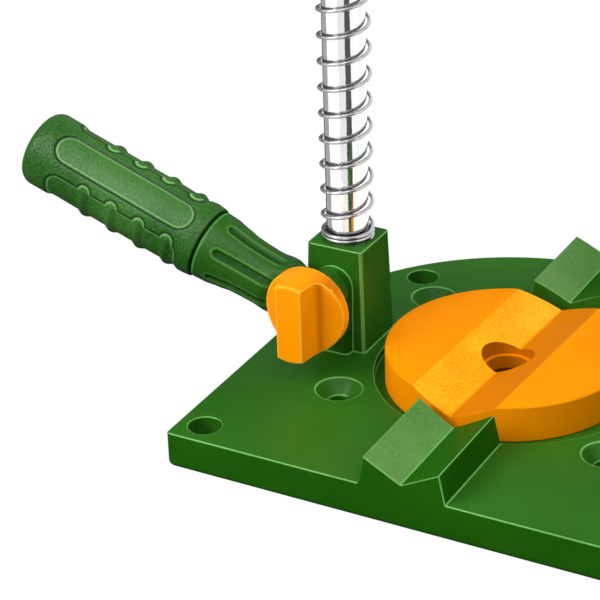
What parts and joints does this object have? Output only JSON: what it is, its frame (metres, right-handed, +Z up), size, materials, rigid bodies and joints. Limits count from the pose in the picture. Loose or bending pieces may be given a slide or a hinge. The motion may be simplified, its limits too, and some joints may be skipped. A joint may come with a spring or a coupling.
{
  "type": "two-column drill stand",
  "caption": "Small drill stand: a cast base with V grooves, a removable V disc, chromed columns with return springs, a sliding carriage with a split collar, and a wing-knob side handle.",
  "frame": {"origin": "centre of the four bench screw holes on the base's underside", "axes": "+Z up along the columns, -Y towards the user at the straight front edge, -X towards the side handle"},
  "size_m": [0.2875, 0.189, 0.274],
  "materials": {
    "green_paint": "smooth semi-gloss paint on a casting",
    "orange_paint": "semi-gloss paint on a casting",
    "chrome_rod": "hard chrome, polished",
    "plain_steel": "zinc plated",
    "spring_steel": "bright drawn wire",
    "soft_rubber": "matt",
    "black_plastic": "moulded, satin",
    "bronze": "sintered",
    "orange_plastic": "moulded, satin gloss",
    "green_plastic": "moulded, fine leather grain on the grip"
  },
  "bodies": {
    "base": {"base_plate": "green_paint", "v_insert": "orange_paint", "left_column": "chrome_rod", "right_column": "chrome_rod", "left_column_bolt": "plain_steel", "right_column_bolt": "plain_steel", "left_spring": "spring_steel", "right_spring": "spring_steel", "left_buffer": "soft_rubber", "right_buffer": "soft_rubber", "left_end_cap": "black_plastic", "right_end_cap": "black_plastic", "left_cap_screw": "plain_steel", "right_cap_screw": "plain_steel"},
    "carriage": {"carriage": "green_paint", "left_lower_bush": "bronze", "left_upper_bush": "bronze", "right_lower_bush": "bronze", "right_upper_bush": "bronze", "collar_screw": "plain_steel", "collar_nut": "plain_steel", "collar_washer": "plain_steel"},
    "depth_rod": {"stop_rod": "chrome_rod"},
    "stop_knob": {"stop_knob": "orange_plastic", "stop_stud": "plain_steel"},
    "handle": {"handle_core": "green_plastic", "handle_grip": "green_plastic", "handle_washer": "plain_steel"},
    "knob": {"wing_knob": "orange_plastic", "knob_stud": "plain_steel"}
  },
  "joints": [
    {"name": "carriage_slide", "type": "slide", "parent": "base", "child": "carriage", "axis": [0, 0, 1], "range_m": [-0.09, 0], "stiffness_N_per_m": 400, "springref_m": 0.06, "deforming": ["left_spring", "right_spring"]},
    {"name": "depth_rod_slide", "type": "slide", "parent": "carriage", "child": "depth_rod", "axis": [0, 0, -1], "range_m": [0, 0.05]},
    {"name": "stop_knob_turn", "type": "hinge", "parent": "carriage", "child": "stop_knob", "pos_m": [0.069, -0.0331, 0.217], "axis": [0, -1, 0], "continuous": true},
    {"name": "handle_tilt", "type": "hinge", "parent": "base", "child": "handle", "pos_m": [-0.069, -0.0229, 0.0407], "axis": [0, 1, 0], "range_deg": [-28, 40]},
    {"name": "knob_turn", "type": "hinge", "parent": "base", "child": "knob", "pos_m": [-0.069, -0.0303, 0.0407], "axis": [0, -1, 0], "continuous": true}
  ]
}
